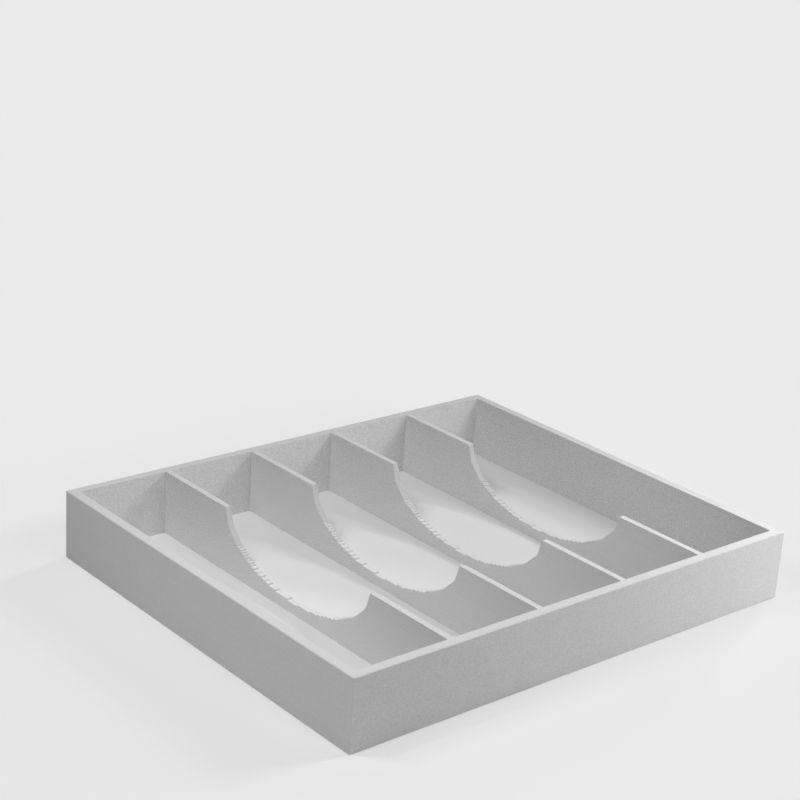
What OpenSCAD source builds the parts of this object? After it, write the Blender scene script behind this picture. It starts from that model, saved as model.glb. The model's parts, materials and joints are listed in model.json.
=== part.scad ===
// Open storage tray for saw blades, in nine printed panels: a frame of four mitred walls, a row
// of scooped dividers housed in the front and back walls, and a floor let in from below.
// Millimetres, +Z up. The origin is the middle of the underside, X runs across the
// compartments and Y runs along the blades, from front to back.

/* [Tray] */
// Width over all, across the row of compartments
tray_w = 240; // [150:1:400]
// Length over all, along the blades
tray_l = 200; // [130:1:320]
// Height over all, from the ground to the rim
tray_h = 31.6; // [29.6:0.1:60]
// Break on the outside edges of the frame
edge_break = 0.3; // [0.1:0.05:0.6]

/* [Panels] */
// Thickness of the four walls
wall_t = 4.4; // [3.6:0.1:8]
// Thickness of the dividers
divider_t = 2.75; // [1.5:0.05:5]
// Thickness of the floor
floor_t = 1.85; // [1.3:0.05:4]

/* [Dividers] */
// Number of dividers, one less than the compartments
divider_count = 4; // [1:1:7]
// Length of the finger scoop along a divider's top edge
scoop_l = 99; // [40:1:180]
// Depth of the finger scoop below the rim
scoop_d = 25.1; // [10:0.1:27]
// Number of straight facets along the scoop
scoop_facets = 10; // [3:1:40]

/* [Joints] */
// How far the floor is let into the foot of each wall
rebate_d = 2.2; // [1:0.1:3]
// How far the tongue at a divider's end goes into the wall
tongue_l = 1.6; // [0.8:0.1:3]
// Height of wall left whole above a tongue, which keeps the joint off the rim
tongue_stop = 3; // [1:0.1:10]
// Depth of the floor groove that a divider stands in
groove_d = 0.8; // [0.4:0.05:1]
// Slip fit on each side of a tongue, a divider's foot and the floor
slip = 0.05; // [0.02:0.01:0.15]

/* [Hidden] */
inner_w = tray_w - 2 * wall_t;
inner_l = tray_l - 2 * wall_t;
cell_w = (inner_w - divider_count * divider_t) / (divider_count + 1);
divider_foot_z = floor_t - groove_d;
tongue_top_z = tray_h - tongue_stop;
panel_grey = "#CBCBCB";
floor_grey = "#DCDCDC";
// Overrun that carries a cut clear of the face it starts from
overrun = 1;

function divider_name(i) = str("divider_", i);

// Middle of divider i, counted from the left
function divider_x(i) = i * (cell_w + divider_t) - divider_t / 2 - inner_w / 2;

// Section of a wall with its outer face at 0: the outside edges are broken, and the foot is
// rebated inside for the floor
module wall_section() {
    polygon([
        [edge_break, 0],
        [wall_t - rebate_d, 0],
        [wall_t - rebate_d, floor_t],
        [wall_t, floor_t],
        [wall_t, tray_h],
        [edge_break, tray_h],
        [0, tray_h - edge_break],
        [0, edge_break]
    ]);
}

// Plan of a wall with its outer face on the X axis: a mitre at each end, its tip broken
module wall_plan(length) {
    half = length / 2;
    polygon([
        [edge_break - half, 0],
        [half - edge_break, 0],
        [half - edge_break / 2, edge_break / 2],
        [half - wall_t, wall_t],
        [wall_t - half, wall_t],
        [edge_break / 2 - half, edge_break / 2]
    ]);
}

// A wall along X, outer face on the X axis
module wall(length) {
    intersection() {
        rotate([90, 0, 90])
            translate([0, 0, -length / 2])
                linear_extrude(length) wall_section();
        linear_extrude(tray_h) wall_plan(length);
    }
}

// The stopped housings in an end wall: each is as wide as its divider and the slip, starts at
// the divider's foot and ends below the rim
module tongue_housings() {
    depth = tongue_l + slip;
    for (i = [1:divider_count])
        translate([divider_x(i) - divider_t / 2 - slip, wall_t - depth, divider_foot_z])
            cube([divider_t + 2 * slip, depth + overrun, tongue_top_z + slip - divider_foot_z]);
}

// A wall that takes the dividers' ends
module end_wall() {
    difference() {
        wall(tray_w);
        tongue_housings();
    }
}

module front_wall() {
    color(panel_grey) translate([0, -tray_l / 2, 0]) end_wall();
}

module back_wall() {
    color(panel_grey) rotate([0, 0, 180]) translate([0, -tray_l / 2, 0]) end_wall();
}

module left_wall() {
    color(panel_grey) rotate([0, 0, -90]) translate([0, -tray_w / 2, 0]) wall(tray_l);
}

module right_wall() {
    color(panel_grey) rotate([0, 0, 90]) translate([0, -tray_w / 2, 0]) wall(tray_l);
}

// The floor fills the rebates, and a groove for each divider runs its whole length
module floor_panel() {
    panel_w = inner_w + 2 * (rebate_d - slip);
    panel_l = inner_l + 2 * (rebate_d - slip);
    groove_w = divider_t + 2 * slip;
    color(floor_grey) difference() {
        translate([-panel_w / 2, -panel_l / 2, 0]) cube([panel_w, panel_l, floor_t]);
        for (i = [1:divider_count])
            translate([divider_x(i) - groove_w / 2, -panel_l / 2 - overrun, divider_foot_z])
                cube([groove_w, panel_l + 2 * overrun, groove_d + overrun]);
    }
}

// The finger scoop: half an ellipse hung from the rim, drawn with straight facets
module scoop_outline() {
    facet = 180 / scoop_facets;
    polygon(concat(
        [[-scoop_l / 2, tray_h + overrun], [scoop_l / 2, tray_h + overrun]],
        [for (k = [0:scoop_facets])
            [scoop_l / 2 * cos(k * facet), tray_h - scoop_d * sin(k * facet)]]
    ));
}

// Side view of a divider, Y to the right: the body between the walls, the tongues and foot
// that go into the walls and the floor, and the scoop taken out of the top edge
module divider_outline() {
    full_l = inner_l + 2 * tongue_l;
    difference() {
        union() {
            translate([-inner_l / 2, divider_foot_z])
                square([inner_l, tray_h - divider_foot_z]);
            translate([-full_l / 2, divider_foot_z])
                square([full_l, tongue_top_z - divider_foot_z]);
        }
        scoop_outline();
    }
}

module divider(i) {
    color(panel_grey)
        translate([divider_x(i) - divider_t / 2, 0, 0])
            rotate([90, 0, 90]) linear_extrude(divider_t) divider_outline();
}

floor_panel();
front_wall();
back_wall();
left_wall();
right_wall();
for (i = [1:divider_count]) divider(i);
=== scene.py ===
import json
import math
import bpy
from mathutils import Euler, Matrix, Vector

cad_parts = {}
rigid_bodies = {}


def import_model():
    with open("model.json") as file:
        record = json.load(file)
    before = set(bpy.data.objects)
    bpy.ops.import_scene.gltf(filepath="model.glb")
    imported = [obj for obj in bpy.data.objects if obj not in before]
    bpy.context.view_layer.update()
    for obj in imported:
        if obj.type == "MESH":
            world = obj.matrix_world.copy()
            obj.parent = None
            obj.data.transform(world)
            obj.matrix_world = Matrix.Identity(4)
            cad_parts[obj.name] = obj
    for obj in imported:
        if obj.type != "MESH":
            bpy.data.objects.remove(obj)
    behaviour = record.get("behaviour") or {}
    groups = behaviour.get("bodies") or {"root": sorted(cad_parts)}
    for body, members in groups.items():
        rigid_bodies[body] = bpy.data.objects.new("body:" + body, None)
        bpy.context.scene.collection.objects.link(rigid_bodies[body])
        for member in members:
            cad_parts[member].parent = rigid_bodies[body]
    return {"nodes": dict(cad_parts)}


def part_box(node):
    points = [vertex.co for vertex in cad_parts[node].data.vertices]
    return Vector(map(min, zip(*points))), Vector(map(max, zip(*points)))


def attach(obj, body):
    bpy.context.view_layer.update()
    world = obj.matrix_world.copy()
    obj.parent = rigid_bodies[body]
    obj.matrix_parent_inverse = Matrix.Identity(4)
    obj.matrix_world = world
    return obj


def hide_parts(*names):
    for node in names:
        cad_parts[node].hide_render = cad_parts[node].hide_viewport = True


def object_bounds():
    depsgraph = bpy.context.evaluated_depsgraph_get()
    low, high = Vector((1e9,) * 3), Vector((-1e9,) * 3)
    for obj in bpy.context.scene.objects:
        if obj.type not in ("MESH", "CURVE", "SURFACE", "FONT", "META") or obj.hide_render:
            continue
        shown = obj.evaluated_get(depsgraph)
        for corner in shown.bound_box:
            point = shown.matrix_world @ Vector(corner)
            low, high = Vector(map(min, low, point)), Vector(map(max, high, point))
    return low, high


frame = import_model()
cad_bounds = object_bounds()

# ---------------------------------------------------------------------------------------------
# The walls
# Four printed pieces in grey PLA that meet in mitres, seen as one frame round the tray. They are
# printed standing, so their layers lie level, and the beads of the last layer run along the rim.
# ---------------------------------------------------------------------------------------------
mm = 0.001
front_y = cad_bounds[0][1]
back_y = cad_bounds[1][1]
rim_z = cad_bounds[1][2]
layer = 0.68 * mm
wall_light = "#CECECE"
wall_dark = "#C8C8C8"


def hex_colour(code):
    """A colour written in sRGB hex, as linear light for a shader."""
    channels = [int(code[i:i + 2], 16) / 255 for i in (1, 3, 5)]
    return tuple(c / 12.92 if c <= 0.04045 else ((c + 0.055) / 1.055) ** 2.4 for c in channels) + (1.0,)


def add_node(tree, kind, settings=None, links=None):
    """Adds a shader node, sets its properties and sockets, and links other nodes' outputs to it."""
    node = tree.nodes.new(kind)
    for name, value in (settings or {}).items():
        if isinstance(name, str) and hasattr(node, name):
            setattr(node, name, value)
        else:
            node.inputs[name].default_value = value
    for name, source in (links or {}).items():
        tree.links.new(source, node.inputs[name])
    return node


def printed_pla(name, light, dark, bead_turn, speck):
    """Matt grey PLA as the printer leaves it.

    On an upright face the eye gets fine level layers and a dry, sandy grain, and on a level face the
    beads of the last layer, side by side. light and dark are the two greys that it wanders between,
    bead_turn is how far those beads are turned from the X axis, and speck is how far a grain's tone
    strays from the rest, at the front end and at the back end of the tray.
    """
    material = bpy.data.materials.new(name)
    material.use_nodes = True
    tree = material.node_tree
    tree.nodes.clear()
    place = add_node(tree, "ShaderNodeTexCoord").outputs["Object"]
    normal = add_node(tree, "ShaderNodeNewGeometry").outputs["Normal"]
    facing = add_node(tree, "ShaderNodeSeparateXYZ", links={"Vector": normal})
    # A wave texture of this scale repeats once a metre
    once_a_metre = math.tau / 20

    # Layers: 0.68 mm, two or three times a usual print's, as the steps on the scoops show. The
    # wave's valley lies on the seam between two layers, counted down from the rim.
    layer_wave = add_node(tree, "ShaderNodeTexWave",
                          {"wave_type": "BANDS", "bands_direction": "Z", "wave_profile": "SIN",
                           "Scale": once_a_metre / layer, "Phase Offset": -math.tau * rim_z / layer,
                           "Distortion": 0.5, "Detail": 1.0, "Detail Scale": 0.3},
                          {"Vector": place})
    layers = add_node(tree, "ShaderNodeBump", {"Distance": 0.012 * mm, "Strength": 1.0},
                      {"Height": layer_wave.outputs["Fac"]})

    # Beads of the last layer: 0.8 mm wide, nearly flat, because the nozzle irons each as it goes
    bead = 0.8 * mm
    turned = add_node(tree, "ShaderNodeMapping", {"Rotation": (0, 0, -bead_turn)}, {"Vector": place})
    bead_wave = add_node(tree, "ShaderNodeTexWave",
                         {"wave_type": "BANDS", "bands_direction": "Y", "wave_profile": "SIN",
                          "Scale": once_a_metre / bead, "Distortion": 0.4, "Detail": 1.0,
                          "Detail Scale": 0.3},
                         {"Vector": turned.outputs["Vector"]})
    level = add_node(tree, "ShaderNodeMapRange", {"From Min": 0.9, "From Max": 1.0},
                     {"Value": facing.outputs["Z"]})
    beads = add_node(tree, "ShaderNodeBump", {"Distance": 0.004 * mm},
                     {"Height": bead_wave.outputs["Fac"], "Strength": level.outputs["Result"],
                      "Normal": layers.outputs["Normal"]})

    # Grain: the dry, sandy skin of the bead, in small bumps and in specks a little lighter and
    # darker. A real skin is rough at a twentieth of this width, which is too fine to show, so it's
    # drawn this coarse. Level faces are pressed smooth, and have none.
    grit = 0.45 * mm
    upright = add_node(tree, "ShaderNodeMapRange", {"From Min": 0.9, "From Max": 0.5},
                       {"Value": facing.outputs["Z"]})
    skin = add_node(tree, "ShaderNodeTexNoise", {"Scale": 1 / grit, "Detail": 2.0, "Roughness": 0.6},
                    {"Vector": place})
    grain = add_node(tree, "ShaderNodeBump", {"Distance": 0.03 * mm},
                     {"Height": skin.outputs["Fac"], "Strength": upright.outputs["Result"],
                      "Normal": beads.outputs["Normal"]})
    along = add_node(tree, "ShaderNodeSeparateXYZ", links={"Vector": place})
    speck_depth = add_node(tree, "ShaderNodeMapRange",
                           {"From Min": front_y, "From Max": back_y,
                            "To Min": speck[0], "To Max": speck[1]},
                           {"Value": along.outputs["Y"]})
    grains = add_node(tree, "ShaderNodeMapRange",
                      {"From Min": 0.3, "From Max": 0.7, "To Min": -1.0, "To Max": 1.0},
                      {"Value": skin.outputs["Fac"]})
    upright_grains = add_node(tree, "ShaderNodeMath", {"operation": "MULTIPLY"},
                              {0: grains.outputs["Result"], 1: upright.outputs["Result"]})
    specks = add_node(tree, "ShaderNodeMath", {"operation": "MULTIPLY_ADD", 2: 1},
                      {0: upright_grains.outputs["Value"], 1: speck_depth.outputs["Result"]})

    # Tone: the two greys drift along each layer over about 25 mm, and from one layer to the next
    drift_size = (25 * mm, 25 * mm, 2 * layer)
    long_drift = add_node(tree, "ShaderNodeMapping", {"Scale": [1 / size for size in drift_size]},
                          {"Vector": place})
    drift = add_node(tree, "ShaderNodeTexNoise", {"Scale": 1.0, "Detail": 3.0},
                     {"Vector": long_drift.outputs["Vector"]})
    tone = add_node(tree, "ShaderNodeMix",
                    {"data_type": "RGBA", "A": hex_colour(dark), "B": hex_colour(light)},
                    {"Factor": drift.outputs["Fac"]})
    speckled = add_node(tree, "ShaderNodeVectorMath", {"operation": "SCALE"},
                        {0: tone.outputs["Result"], "Scale": specks.outputs["Value"]})
    rough = add_node(tree, "ShaderNodeMapRange", {"To Min": 0.55, "To Max": 0.7},
                     {"Value": skin.outputs["Fac"]})
    # The dry skin scatters about half of the shine that plain plastic has
    shader = add_node(tree, "ShaderNodeBsdfPrincipled", {"IOR": 1.46, "Specular IOR Level": 0.25},
                      {"Base Color": speckled.outputs["Vector"], "Roughness": rough.outputs["Result"],
                       "Normal": grain.outputs["Normal"]})
    add_node(tree, "ShaderNodeOutputMaterial", links={"Surface": shader.outputs["BSDF"]})
    return material


# The left wall has the finest skin, and the right wall the sandiest
wall_pla = {
    "front_wall": printed_pla("matt grey PLA, front and back walls", wall_light, wall_dark,
                              bead_turn=0, speck=(0.15, 0.17)),
    "left_wall": printed_pla("matt grey PLA, left wall", wall_light, wall_dark,
                             bead_turn=math.pi / 2, speck=(0.06, 0.06)),
    "right_wall": printed_pla("matt grey PLA, right wall", wall_light, wall_dark,
                              bead_turn=math.pi / 2, speck=(0.26, 0.38)),
}
wall_pla["back_wall"] = wall_pla["front_wall"]
for name, material in wall_pla.items():
    wall = frame["nodes"][name]
    wall.data.materials.clear()
    wall.data.materials.append(material)

# ---------------------------------------------------------------------------------------------
# The floor
# A thin panel in the same PLA, let into the walls' rebates from below. It prints flat on the bed,
# so its top is smoother than the walls, with the beads laid across it at 45 degrees. Its grey is
# painted paler than the walls', as painted light on the floor of the tray.
# ---------------------------------------------------------------------------------------------
# Greys paler than the walls': painted light
floor_painted_light_pla = printed_pla("smooth grey PLA painted paler, beads at 45 degrees", "#E1E1E1", "#DDDDDD",
                        bead_turn=math.pi / 4, speck=(0.04, 0.04))
floor = frame["nodes"]["floor_panel"]
floor.data.materials.clear()
floor.data.materials.append(floor_painted_light_pla)

# ---------------------------------------------------------------------------------------------
# The dividers
# Four thin panels in the same PLA, printed standing. Each has a tongue at both ends, in a stopped
# housing of the front or back wall, and a foot in a groove of the floor. The layers show as steps
# along the finger scoop.
# ---------------------------------------------------------------------------------------------
# The sizes of the solid that each panel stands for
wall_thickness = 4.4 * mm
tongue_stop = 3 * mm
scoop_length = 99 * mm
scoop_depth = 25.1 * mm
scoop_facets = 10
# A layer's upper edge is rounded by this much, with this many straight bits
edge_round = 0.12 * mm
edge_bits = 3
# Where the scoop is steeper than this the ends of the layers are too short to tell apart, and show
# as fine ribs, four to a layer; a layer that turns a corner of the scoop stays whole, as a ledge
steep = math.tan(math.radians(40))
ribs = 4

# On the scoops the long treads are painted paler, as painted light, and the ends of the layers darker,
# as painted shade. A tread between these two lengths keeps the dividers' plain grey, and a shorter one
# gets the ends' painted shade, as it lies half in the shadow of the next layer.
long_tread = 3 * layer
short_tread = layer
# A shade paler than the walls' grey, as painted light
divider_pla = printed_pla("matt grey PLA, dividers", "#D1D1D1", "#CBCBCB",
                          bead_turn=math.pi / 2, speck=(0.05, 0.35))
tread_painted_light_pla = printed_pla("grey PLA, long treads, painted light", "#DDDDDD", "#D9D9D9",
                        bead_turn=math.pi / 2, speck=(0.04, 0.04))
end_painted_shade_pla = printed_pla("grey PLA, ends of layers and short treads, painted shade", "#CACACA", "#C4C4C4",
                      bead_turn=math.pi / 2, speck=(0.05, 0.2))
divider_materials = [divider_pla, tread_painted_light_pla, end_painted_shade_pla]


def scoop_corner(k):
    """Corner k of the facetted scoop, counted from its back end, as (y, z)."""
    turn = k * math.pi / scoop_facets
    return scoop_length / 2 * math.cos(turn), rim_z - scoop_depth * math.sin(turn)


def stepped_half():
    """The scoop's edge from its lowest point to its back end, as (y, z) points, in printed layers."""
    corners = [scoop_corner(k) for k in range(scoop_facets // 2, -1, -1)]
    points = []
    for k in range(int(scoop_depth / layer), -1, -1):
        bottom, top = rim_z - (k + 1) * layer, rim_z - k * layer
        middle = (bottom + top) / 2
        (y_low, z_low), (y_high, z_high) = next(
            (a, b) for a, b in zip(corners, corners[1:]) if a[1] < middle <= b[1])
        slope = (z_high - z_low) / (y_high - y_low)
        if slope > steep and z_low <= bottom and top <= z_high:
            # Each rib stands on the facet's line at the middle of its height
            for j in range(ribs):
                y = y_low + (bottom + (j + 0.5) * layer / ribs - z_low) / slope
                points += [(y, bottom + j * layer / ribs), (y, bottom + (j + 1) * layer / ribs)]
            continue
        y = y_low + (middle - z_low) / slope
        points.append((y, bottom))
        for bit in range(edge_bits + 1):
            turn = math.pi / 2 * bit / edge_bits
            points.append((y + edge_round * (1 - math.cos(turn)),
                           top - edge_round * (1 - math.sin(turn))))
    return points


def printed_divider(name):
    """A panel that stands for the CAD solid of the same name and has its size, with a stepped scoop."""
    low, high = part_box(name)
    body_end = back_y - wall_thickness
    tongue_top = rim_z - tongue_stop
    half = stepped_half() + [(body_end, rim_z), (body_end, tongue_top),
                             (high[1], tongue_top), (high[1], low[2])]
    outline = half + [(-y, z) for y, z in reversed(half)]
    count = len(outline)
    vertices = [(x, y, z) for x in (low[0], high[0]) for y, z in outline]
    left = list(range(count))
    right = [count + i for i in reversed(left)]
    edge = [(i, count + i, count + (i + 1) % count, (i + 1) % count) for i in left]
    mesh = bpy.data.meshes.new("printed_" + name)
    mesh.from_pydata(vertices, [], [left, right] + edge)
    mesh.validate()
    for material in divider_materials:
        mesh.materials.append(material)
    for face in mesh.polygons:
        in_scoop = abs(face.center.y) < scoop_length / 2
        if in_scoop and abs(face.normal.x) < 0.5 and face.normal.z > -0.5:
            tread = face.area / (high[0] - low[0]) if face.normal.z > 0.99 else 0
            # Long treads take the painted light, and the ends of the layers and short treads the
            # painted shade
            if tread > long_tread:
                face.material_index = divider_materials.index(tread_painted_light_pla)
            elif tread <= short_tread:
                face.material_index = divider_materials.index(end_painted_shade_pla)
    piece = bpy.data.objects.new("printed_" + name, mesh)
    bpy.context.scene.collection.objects.link(piece)
    return piece


for name in sorted(n for n in frame["nodes"] if n.startswith("divider_")):
    divider = printed_divider(name)
    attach(divider, "root")
    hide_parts(name)

# ---------------------------------------------------------------------------------------------
# The lamps
# Round lamps on every side, all aimed at the middle of the tray. The near ones shade it from one
# end to the other. The small ones give its shadows an edge, and the broad ones leave them soft.
# ---------------------------------------------------------------------------------------------
aim = Vector((0, 0, 15)) * mm
# Name: degrees round from the front towards the right, degrees up, distance, diameter, watts
lamps = {
    "overhead": (0, 88, 1000 * mm, 400 * mm, 0.94),
    "left": (268, 56, 460 * mm, 40 * mm, 0.325),
    "near_left": (262, 50, 350 * mm, 50 * mm, 0.170),
    "left_front": (290, 50, 450 * mm, 50 * mm, 0.330),
    "low_left_front": (300, 35, 400 * mm, 150 * mm, 0.084),
    "front": (0, 20, 1200 * mm, 300 * mm, 2.10),
    "near_right_front": (40, 45, 350 * mm, 50 * mm, 0.122),
    "second_right_front": (45, 38, 350 * mm, 60 * mm, 0.160),
    "low_right_front": (50, 18, 300 * mm, 120 * mm, 0.110),
    "right_front": (62, 38, 450 * mm, 70 * mm, 0.337),
    "right": (95, 48, 300 * mm, 30 * mm, 0.0225),
    "low_right": (105, 12, 1200 * mm, 200 * mm, 6.92),
    "back_right": (140, 62, 500 * mm, 200 * mm, 0.091),
    "back_left": (224, 54, 300 * mm, 30 * mm, 0.0085),
}
for name, (turn, height, distance, diameter, watts) in lamps.items():
    turn, height = math.radians(turn), math.radians(height)
    towards = Vector((math.cos(height) * math.sin(turn),
                      -math.cos(height) * math.cos(turn),
                      math.sin(height)))
    lamp_data = bpy.data.lights.new(name, "AREA")
    lamp_data.shape = "DISK"
    lamp_data.size = diameter
    lamp_data.energy = watts
    lamp = bpy.data.objects.new(name, lamp_data)
    lamp.location = aim + distance * towards
    lamp.rotation_euler = towards.to_track_quat("Z", "Y").to_euler()
    bpy.context.scene.collection.objects.link(lamp)

# ---------------------------------------------------------------------------------------------
# The paper that the tray stands on
# One pale sheet that runs out of the picture. The lamps are near, so it is toned to come out even:
# its colour is divided by the light that would fall on it bare. The tray's shadows stay, and are
# thinned with a share of plain light of the same grey, as the photograph's are faint.
# ---------------------------------------------------------------------------------------------
paper_colour = hex_colour("#EBEBEB")
sheet_half = 6000 * mm
# Up to the first distance from the tray's middle two fifths of it is plain light, and from the
# second on all of it, where hardly any shadow falls
nearest_share = 0.4
share_from = 220 * mm
share_to = 450 * mm

sheet_mesh = bpy.data.meshes.new("studio_floor")
sheet_mesh.from_pydata([(-sheet_half, -sheet_half, 0), (sheet_half, -sheet_half, 0),
                        (sheet_half, sheet_half, 0), (-sheet_half, sheet_half, 0)], [], [(0, 1, 2, 3)])
studio_floor = bpy.data.objects.new("studio_floor", sheet_mesh)
bpy.context.scene.collection.objects.link(studio_floor)


def looked_at(tree):
    """1 where the camera looks, straight or by way of gloss or glass, and 0 for light that bounces."""
    path = add_node(tree, "ShaderNodeLightPath")
    straight_or_gloss = add_node(tree, "ShaderNodeMath", {"operation": "MAXIMUM"},
                                 {0: path.outputs["Is Camera Ray"], 1: path.outputs["Is Glossy Ray"]})
    or_glass = add_node(tree, "ShaderNodeMath", {"operation": "MAXIMUM"},
                        {0: straight_or_gloss.outputs["Value"], 1: path.outputs["Is Transmission Ray"]})
    return or_glass.outputs["Value"]


paper = bpy.data.materials.new("matt paper, toned even")
paper.use_nodes = True
tree = paper.node_tree
tree.nodes.clear()
spot = add_node(tree, "ShaderNodeNewGeometry").outputs["Position"]
fallen = None
for lamp in (o for o in bpy.data.objects if o.type == "LIGHT"):
    # A round lamp of P watts gives P h (u . r) / (pi^2 r^4) of white, at h up and u its aim
    lamp_aim = (aim - lamp.location).normalized()
    strength = lamp.data.energy * lamp.location.z / math.pi ** 2
    ray = add_node(tree, "ShaderNodeVectorMath", {"operation": "SUBTRACT", 1: lamp.location}, {0: spot})
    ahead = add_node(tree, "ShaderNodeVectorMath", {"operation": "DOT_PRODUCT", 1: lamp_aim},
                     {0: ray.outputs["Vector"]})
    squared = add_node(tree, "ShaderNodeVectorMath", {"operation": "DOT_PRODUCT"},
                       {0: ray.outputs["Vector"], 1: ray.outputs["Vector"]})
    fourth = add_node(tree, "ShaderNodeMath", {"operation": "MULTIPLY"},
                      {0: squared.outputs["Value"], 1: squared.outputs["Value"]})
    spread = add_node(tree, "ShaderNodeMath", {"operation": "DIVIDE"},
                      {0: ahead.outputs["Value"], 1: fourth.outputs["Value"]})
    total = add_node(tree, "ShaderNodeMath", {"operation": "MULTIPLY_ADD", 1: strength, 2: 0},
                     {0: spread.outputs["Value"]})
    if fallen:
        tree.links.new(fallen, total.inputs[2])
    fallen = total.outputs["Value"]
toned = add_node(tree, "ShaderNodeMath", {"operation": "DIVIDE", 0: paper_colour[0]}, {1: fallen})
sheet = add_node(tree, "ShaderNodeBsdfDiffuse", links={"Color": toned.outputs["Value"]})
plain_light = add_node(tree, "ShaderNodeEmission", {"Color": paper_colour, "Strength": 1.0})
away = add_node(tree, "ShaderNodeVectorMath", {"operation": "LENGTH"}, {0: spot})
share = add_node(tree, "ShaderNodeMapRange",
                 {"interpolation_type": "SMOOTHSTEP", "From Min": share_from, "From Max": share_to,
                  "To Min": nearest_share, "To Max": 1.0},
                 {"Value": away.outputs["Value"]})
seen = add_node(tree, "ShaderNodeMixShader", {},
                {0: share.outputs["Result"], 1: sheet.outputs["BSDF"],
                 2: plain_light.outputs["Emission"]})
# The light that bounces from the paper on to the tray comes from plain paper, without the toning
bare = add_node(tree, "ShaderNodeBsdfDiffuse", {"Color": paper_colour})
surface = add_node(tree, "ShaderNodeMixShader", {},
                   {0: looked_at(tree), 1: bare.outputs["BSDF"], 2: seen.outputs["Shader"]})
add_node(tree, "ShaderNodeOutputMaterial", links={"Surface": surface.outputs["Shader"]})
sheet_mesh.materials.append(paper)

# The backdrop beyond the paper is the same grey, and gives the tray no light of its own
world = bpy.data.worlds.new("studio")
bpy.context.scene.world = world
world.use_nodes = True
backdrop = world.node_tree.nodes["Background"]
backdrop.inputs["Color"].default_value = paper_colour
world.node_tree.links.new(looked_at(world.node_tree), backdrop.inputs["Strength"])

# ---------------------------------------------------------------------------------------------
# The view of the photograph
# An 85 mm lens on a 36 mm sensor, held a little under 0.7 m from the tray's front left corner,
# looking down at it and turned a few degrees out of level.
# ---------------------------------------------------------------------------------------------
camera_spot = Vector((-506.75, -557.48, 357.08)) * mm
camera_heading = math.radians(41.145)
camera_dip = math.radians(20.058)
camera_roll = math.radians(3.818)

camera_data = bpy.data.cameras.new("camera")
camera_data.lens = 85
camera_data.sensor_width = 36
camera_data.clip_start = 0.01
camera_data.clip_end = 50
camera = bpy.data.objects.new("camera", camera_data)
bpy.context.scene.collection.objects.link(camera)
level_aim = Euler((math.pi / 2 - camera_dip, 0, -camera_heading)).to_matrix().to_4x4()
camera.matrix_world = Matrix.Translation(camera_spot) @ level_aim @ Matrix.Rotation(camera_roll, 4, "Z")
bpy.context.scene.camera = camera
bpy.context.scene.view_settings.view_transform = "Standard"
